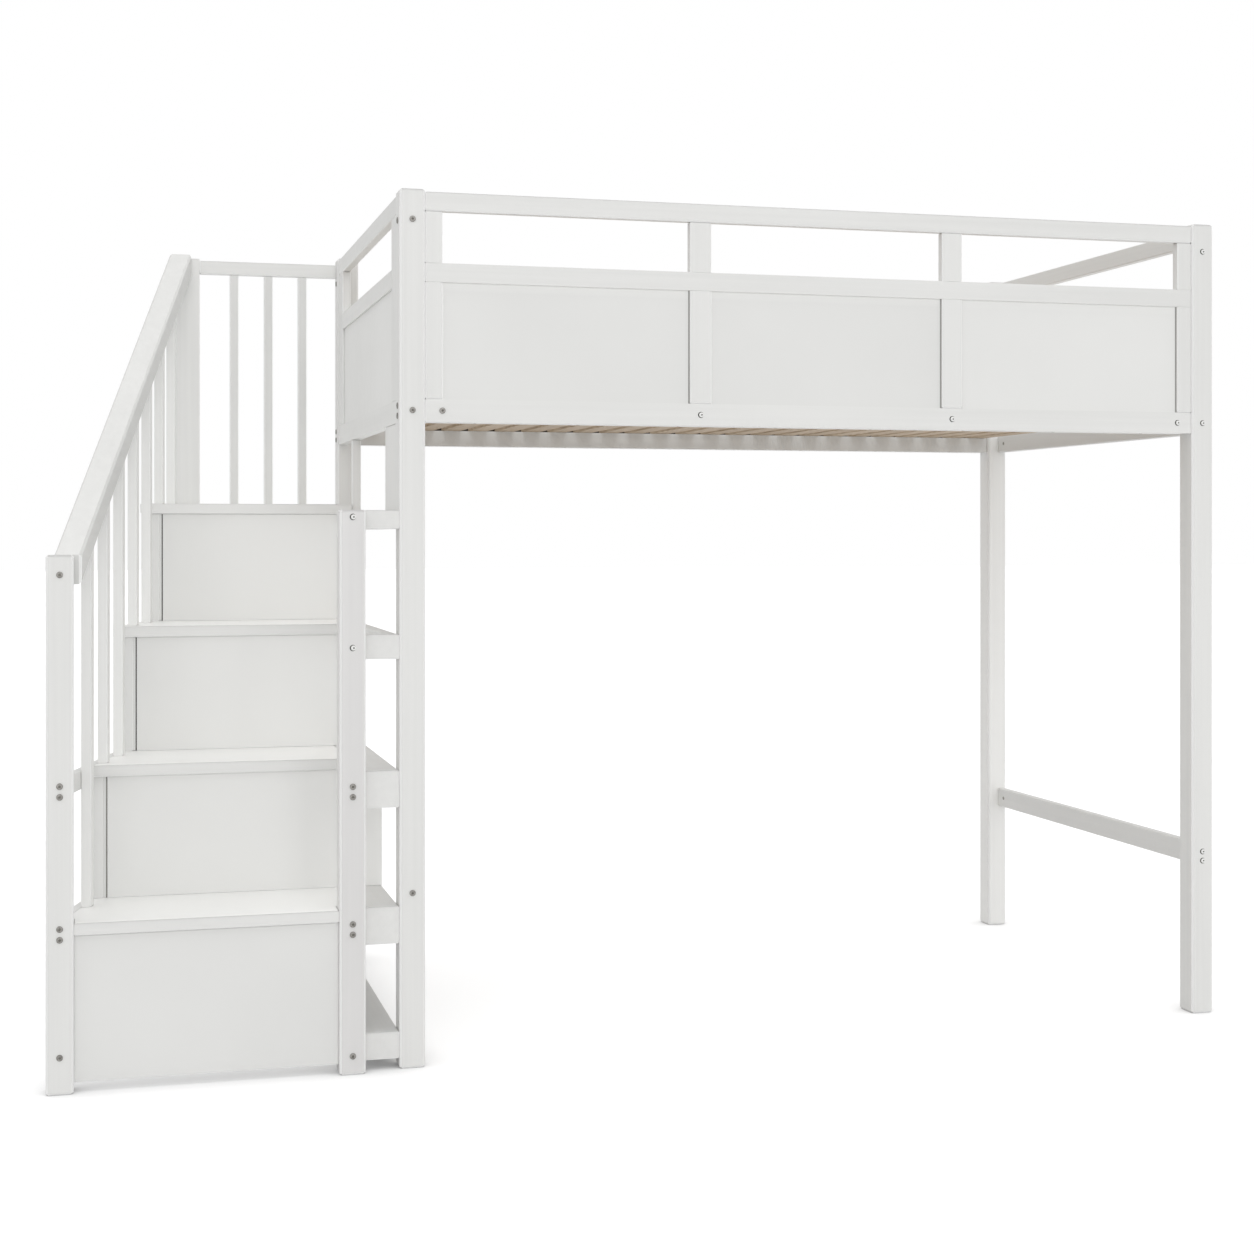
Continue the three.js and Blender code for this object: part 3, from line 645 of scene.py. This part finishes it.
# Bolt and caps of the front side rail
rail = "front_side_rail"
first_x = face_of("front_stile_1", "right")
last_x = face_of("front_stile_4", "left")
fasteners("side_rail_bolt", BOLT, rail, "front", [(first_x, side_rail_z)])
cap_x = (middle("front_stile_2").x, middle("front_stile_3").x, last_x)
fasteners("side_rail_caps", CAP, rail, "front", [(x, side_rail_z) for x in cap_x])

# Bolts and caps of the stair posts
NEWEL_TOP_BOLT = 41 * MM  # below the newel's top
NEWEL_FOOT_BOLT = 77 * MM  # above the floor
POST_FOOT_BOLT = 40 * MM
TOP_CAP_RISE = 5 * MM  # above the middle of the bar behind it
BOARD_BOLT_INSET = 20 * MM  # from the rear board's left edge
BOARD_TOP_BOLT = 34 * MM  # below its top
newel = "stair_newel_post"
newel_x = middle(newel).x
fasteners("newel_bolts", BOLT, newel, "front", [
    (newel_x, face_of(newel, "top") - NEWEL_TOP_BOLT),
    *pair(newel_x, middle("stair_left_bar_2").z), *pair(newel_x, middle("stair_left_bar_1").z),
    (newel_x, NEWEL_FOOT_BOLT),
])
right_post = "stair_front_right_post"
right_x = middle(right_post).x
fasteners("stair_post_bolts", BOLT, right_post, "front", [
    *pair(right_x, middle("stair_side_bar_3").z), *pair(right_x, middle("stair_side_bar_2").z),
    (right_x, POST_FOOT_BOLT),
])
fasteners("stair_post_caps", CAP, right_post, "front", [
    (right_x, middle("stair_side_bar_4").z),
    (right_x, middle("stair_side_bar_5").z + TOP_CAP_RISE),
])
board = "stair_rear_left_board"
board_x = face_of(board, "left") + BOARD_BOLT_INSET
fasteners("rear_board_bolts", BOLT, board, "rear", [
    (board_x, face_of(board, "top") - BOARD_TOP_BOLT), (board_x, middle("stair_left_bar_2").z),
    (board_x, middle("stair_left_bar_1").z), (middle(board).x, middle("platform").z),
])

# Barrel nuts that the bolts reach, on the inner faces of the rails
NUT_INSET = 34 * MM  # from the end of a rail to its nut
for name, node, side in (
    ("front_rail_nuts", "front_top_rail", "rear"), ("rear_rail_nuts", "rear_guard_rail", "front"),
    ("left_rail_nuts", "left_end_top_rail", "right"), ("left_bottom_nuts", "left_end_bottom_rail", "right"),
    ("right_rail_nuts", "right_end_top_rail", "left"), ("right_mid_nuts", "right_end_mid_rail", "left"),
    ("right_bottom_nuts", "right_end_bottom_rail", "left"), ("low_rail_nuts", "right_end_low_rail", "left"),
):
    low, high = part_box(node)
    z = (low.z + high.z) / 2
    start, end = (low.x, high.x) if side in ("front", "rear") else (low.y, high.y)
    fasteners(name, NUT, node, side, [(start + NUT_INSET, z), (end - NUT_INSET, z)])

# Screws of the back panel and under the side rails' ledges
SCREW_INSET = 24 * MM
SCREW_ROWS = 5
low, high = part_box("stair_back_panel")
row_step = (high.z - low.z - 2 * SCREW_INSET) / (SCREW_ROWS - 1)
rows = [low.z + SCREW_INSET + row_step * i for i in range(SCREW_ROWS)]
columns = (face_of("stair_rear_left_board", "right") + SCREW_INSET, high.x - SCREW_INSET)
panel_screws = [(x, z) for z in rows for x in columns]
fasteners("back_panel_screws", SCREW, "stair_back_panel", "rear", panel_screws)
LEDGE_SCREWS = 8
LEDGE_SCREW_INSET = 11 * MM  # from the ledge's edge
for outer, inner, inwards in (("front", "rear", -1), ("rear", "front", 1)):
    node = f"{outer}_side_rail"
    low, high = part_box(node)
    y = face_of(node, inner) + inwards * LEDGE_SCREW_INSET
    spots = [(low.x + (high.x - low.x) * (i + 0.5) / LEDGE_SCREWS, y) for i in range(LEDGE_SCREWS)]
    fasteners(f"{outer}_ledge_screws", SCREW, node, "under", spots)

# Block at the left of the second riser, with the web that joins it to the riser. It stands on the
# first tread, and its top is notched under the bar at the stair's left side.
UPRIGHT_DEPTH = 36 * MM
UPRIGHT_REACH = 48 * MM  # from the block's left side to the riser, at the riser's rear
WEB_SINK = 3 * MM  # web behind the riser's face
WEB_DEPTH = 14 * MM
NOTCH = 22.6 * MM  # from the stair's left side
FLANK_SLOPE = 300 / 1130  # how far the stair's left side runs inwards on its way back
STEP_GAP = 0.3 * MM
riser_low, riser_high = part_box("riser_2")
block_left = riser_low.x - UPRIGHT_REACH - FLANK_SLOPE * (riser_high.y - riser_low.y)
web_right = riser_low.x - STEP_GAP - block_left


def block_ring(inset, height):
    """The block's outline at a height, from an inset to the web's end at the riser."""
    plan = [
        (inset, 0), (UPRIGHT_WIDTH, 0), (UPRIGHT_WIDTH, WEB_SINK), (web_right, WEB_SINK),
        (web_right, WEB_SINK + WEB_DEPTH), (UPRIGHT_WIDTH, WEB_SINK + WEB_DEPTH),
        (UPRIGHT_WIDTH, UPRIGHT_DEPTH), (inset, UPRIGHT_DEPTH),
    ]
    sheared = [(u if u == web_right else u + FLANK_SLOPE * v, v) for u, v in plan]
    return [(block_left + u, riser_low.y + v, height) for u, v in sheared]


foot = face_of("tread_1", "top") + STEP_GAP
shoulder = face_of("stair_left_bar_2", "under") - STEP_GAP
head = face_of("tread_2", "under") - STEP_GAP
block_points = block_ring(0, foot) + block_ring(0, shoulder) + block_ring(NOTCH, head)
block_points += [block_ring(NOTCH, shoulder)[0], block_ring(NOTCH, shoulder)[-1]]
FRONT_INNER, REAR_INNER = 24, 25  # the notch's two corners at the shoulder
block_faces = [tuple(reversed(range(8))), tuple(range(16, 24)), (8, FRONT_INNER, REAR_INNER, 15)]
block_faces += [(0, 1, 9, FRONT_INNER, 8), (6, 7, 15, REAR_INNER, 14), (7, 0, 8, 15)]
block_faces += [(i, i + 1, i + 9, i + 8) for i in (*range(1, 6), *range(9, 14))]
block_faces += [(FRONT_INNER, 9, 17, 16), (14, REAR_INNER, 23, 22), (REAR_INNER, FRONT_INNER, 16, 23)]
block_paint = riser_paint("riser_2_block", block_left, riser_low.y, BLOCK_GROOVE_SHADOW)
piece("riser_2_block", block_points, block_faces, [block_paint])

# Webbing over the slats, stapled to each one
TAPE_WIDTH = 25 * MM
TAPE_INSET = 170.3 * MM  # from the slat ends to the middle of a tape
TAPE_TOP = slat_high.z + 0.35 * MM
TAPE_UNDER = slat_high.z - 2.4 * MM
TAPE_END = 9 * MM  # past the middle of the first and the last slat
TAPE_STEPS = 8  # from slat to slat
TAPE_SAG = 1.2 * MM  # between two slats, if nothing held it
SAG_LIMIT = 0.3 * MM
TOP_SAG_SHARE = 0.3  # how much of it shows on the top
TAPE_SECTION = [(-0.5, 0.0), (-0.46, 1.0), (0.46, 1.0), (0.5, 0.0)]  # shares of its width and height

STAPLE_SPREAD = 6.5 * MM  # from the tape's middle to each staple
STAPLE_LENGTH = 10.4 * MM
STAPLE_WIRE = 1.1 * MM
STAPLE_LEAN = 0.4 * MM
STAPLE_RISE, STAPLE_SINK = 0.45 * MM, 0.8 * MM  # over and under the tape's top


def tape(name, y):
    """A ribbon along the slats that sags a little from slat to slat."""
    steps = TAPE_STEPS * (SLAT_COUNT - 1)
    first = slat_low.x + SLAT_WIDTH / 2 - TAPE_END
    last = slat_high.x - SLAT_WIDTH / 2 + TAPE_END
    vertices, faces = [], []
    for i in range(steps + 1):
        x = first + (last - first) * i / steps
        phase = 2 * math.pi * (x - slat_low.x - SLAT_WIDTH / 2) / slat_pitch
        drop = min(TAPE_SAG * (0.5 - 0.5 * math.cos(phase)) ** 2, SAG_LIMIT)
        for u, v in TAPE_SECTION:
            z = TAPE_UNDER + (TAPE_TOP - TAPE_UNDER) * v - (drop if v == 0 else drop * TOP_SAG_SHARE)
            vertices.append((x, y + TAPE_WIDTH * u, z))
    count = len(TAPE_SECTION)
    for i in range(steps):
        for k in range(count):
            j = (k + 1) % count
            faces.append((i * count + k, (i + 1) * count + k, (i + 1) * count + j, i * count + j))
    faces.append(tuple(range(count)))
    faces.append(tuple(reversed([steps * count + k for k in range(count)])))
    piece(name, vertices, faces, [WEBBING])


def staples(name, y):
    """Two wire staples on every slat, pressed into the tape."""
    corners = [(u, v, w) for u in (-1, 1) for v in (-1, 1) for w in (-STAPLE_SINK, STAPLE_RISE)]
    sides = ((0, 1, 3, 2), (4, 6, 7, 5), (0, 4, 5, 1), (2, 3, 7, 6), (0, 2, 6, 4), (1, 5, 7, 3))
    vertices, faces = [], []
    for i in range(SLAT_COUNT):
        x = slat_low.x + SLAT_WIDTH / 2 + slat_pitch * i
        for side in (-1, 1):
            centre = y + side * STAPLE_SPREAD
            lean = STAPLE_LEAN * math.sin(2.3 * i + side)  # uneven, but the same each time
            start = len(vertices)
            for u, v, w in corners:
                vertices.append((x + u * STAPLE_LENGTH / 2, centre + v * STAPLE_WIRE / 2 + u * lean,
                                 TAPE_TOP + w))
            faces += [tuple(start + k for k in face) for face in sides]
    piece(name, vertices, faces, [SCREW_STEEL])


for place, y in (("front", slat_low.y + TAPE_INSET), ("rear", slat_high.y - TAPE_INSET)):
    tape(f"{place}_tape", y)
    staples(f"{place}_staples", y)


# Camera, floor and light

CAMERA_AT = Vector((-0.6405, -3.9852, 1.1486))  # from the bed's front left corner
CAMERA_TURN = 14.04  # degrees to the right of +Y
PICTURE = 1254  # the photograph's side in pixels
FOCAL = 1865.6  # focal length in those pixels
AXIS_X, AXIS_Y = 560, 536.2  # where the camera's axis meets the photograph

camera_data = bpy.data.cameras.new("camera")
camera_data.sensor_width = 36.0
camera_data.lens = FOCAL / PICTURE * camera_data.sensor_width
camera_data.shift_x = (PICTURE / 2 - AXIS_X) / PICTURE
camera_data.shift_y = (AXIS_Y - PICTURE / 2) / PICTURE
camera = bpy.data.objects.new("camera", camera_data)
camera.location = CORNER + CAMERA_AT
camera.rotation_euler = (math.radians(90), 0, -math.radians(CAMERA_TURN))
bpy.context.scene.collection.objects.link(camera)
bpy.context.scene.camera = camera


def seen_directly(tree):
    """One where a camera, mirror or glass ray meets the surface, and zero for light on its way."""
    paths = tree.nodes.new("ShaderNodeLightPath")
    seen = paths.outputs["Is Camera Ray"]
    for name in ("Is Glossy Ray", "Is Transmission Ray"):
        either = tree.nodes.new("ShaderNodeMath")
        either.operation = "MAXIMUM"
        tree.links.new(seen, either.inputs[0])
        tree.links.new(paths.outputs[name], either.inputs[1])
        seen = either.outputs[0]
    return seen


def diffuse(tree, level):
    node = tree.nodes.new("ShaderNodeBsdfDiffuse")
    node.inputs["Color"].default_value = (level, level, level, 1)
    return node.outputs[0]


HALF_FLOOR = 60.0  # metres, so that no view sees its edge
FLOOR_Z = -0.0004  # keeps the floor off the undersides of the posts
FLOOR_BOUNCE = 0.7  # how much light the floor throws back up
FLOOR_GLOW = 0.6  # what is left of the floor's white in an open shadow
CONTACT_GLOW = 0.05  # and where something stands on it or just above it
CONTACT_REACH = 0.12  # metres
FLOOR_LIT = 0.57  # what the light adds to it

floor_mesh = bpy.data.meshes.new("floor")
corners = [(-HALF_FLOOR, -HALF_FLOOR), (HALF_FLOOR, -HALF_FLOOR),
           (HALF_FLOOR, HALF_FLOOR), (-HALF_FLOOR, HALF_FLOOR)]
floor_mesh.from_pydata([(x, y, FLOOR_Z) for x, y in corners], [], [(0, 1, 2, 3)])
floor = bpy.data.objects.new("floor", floor_mesh)
bpy.context.scene.collection.objects.link(floor)
floor_material = bpy.data.materials.new("floor")
floor_material.use_nodes = True
floor_tree = floor_material.node_tree
floor_tree.nodes.clear()
glow = floor_tree.nodes.new("ShaderNodeEmission")
# Painted shade on the floor: its glow falls to the contact tone with ambient occlusion where something
# stands on it or just above it
contact_shade = floor_tree.nodes.new("ShaderNodeAmbientOcclusion")
contact_shade.inputs["Distance"].default_value = CONTACT_REACH
strength = floor_tree.nodes.new("ShaderNodeMapRange")
strength.inputs["To Min"].default_value = CONTACT_GLOW
strength.inputs["To Max"].default_value = FLOOR_GLOW
floor_tree.links.new(contact_shade.outputs["AO"], strength.inputs["Value"])
floor_tree.links.new(strength.outputs["Result"], glow.inputs["Strength"])
lit = floor_tree.nodes.new("ShaderNodeAddShader")
floor_tree.links.new(glow.outputs[0], lit.inputs[0])
floor_tree.links.new(diffuse(floor_tree, FLOOR_LIT), lit.inputs[1])
either_way = floor_tree.nodes.new("ShaderNodeMixShader")
floor_tree.links.new(seen_directly(floor_tree), either_way.inputs[0])
floor_tree.links.new(diffuse(floor_tree, FLOOR_BOUNCE), either_way.inputs[1])
floor_tree.links.new(lit.outputs[0], either_way.inputs[2])
floor_out = floor_tree.nodes.new("ShaderNodeOutputMaterial")
floor_tree.links.new(either_way.outputs[0], floor_out.inputs["Surface"])
floor_mesh.materials.append(floor_material)

WORLD_STRENGTH = 0.66  # the white that lights the bed; the one behind it is full

world = bpy.data.worlds.new("world")
bpy.context.scene.world = world
world.use_nodes = True
world_tree = world.node_tree
world_tree.nodes.clear()
sky = world_tree.nodes.new("ShaderNodeBackground")
sky.inputs["Color"].default_value = (1, 1, 1, 1)
paths = world_tree.nodes.new("ShaderNodeLightPath")
level = world_tree.nodes.new("ShaderNodeMapRange")
world_tree.links.new(paths.outputs["Is Camera Ray"], level.inputs["Value"])
level.inputs["To Min"].default_value = WORLD_STRENGTH
level.inputs["To Max"].default_value = 1.0
world_tree.links.new(level.outputs["Result"], sky.inputs["Strength"])
world_out = world_tree.nodes.new("ShaderNodeOutputWorld")
world_tree.links.new(sky.outputs[0], world_out.inputs["Surface"])


def sun(name, towards, share, spread):
    """A broad lamp; its share is what it adds on a face turned to it, its spread is in degrees."""
    data = bpy.data.lights.new(name, "SUN")
    data.energy = share * math.pi
    data.angle = math.radians(spread)
    obj = bpy.data.objects.new(name, data)
    obj.rotation_euler = Vector(towards).to_track_quat("Z", "Y").to_euler()
    bpy.context.scene.collection.objects.link(obj)


sun("key_right", (0.93, -0.05, 0.30), 0.12, 50)
sun("fill_front", (-0.05, -0.98, 0.20), 0.25, 50)
sun("fill_left", (-0.95, -0.2, 0.20), 0.12, 50)
sun("fill_top", (0.0, -0.1, 1.0), 0.31, 60)

bpy.context.scene.view_settings.view_transform = "Standard"
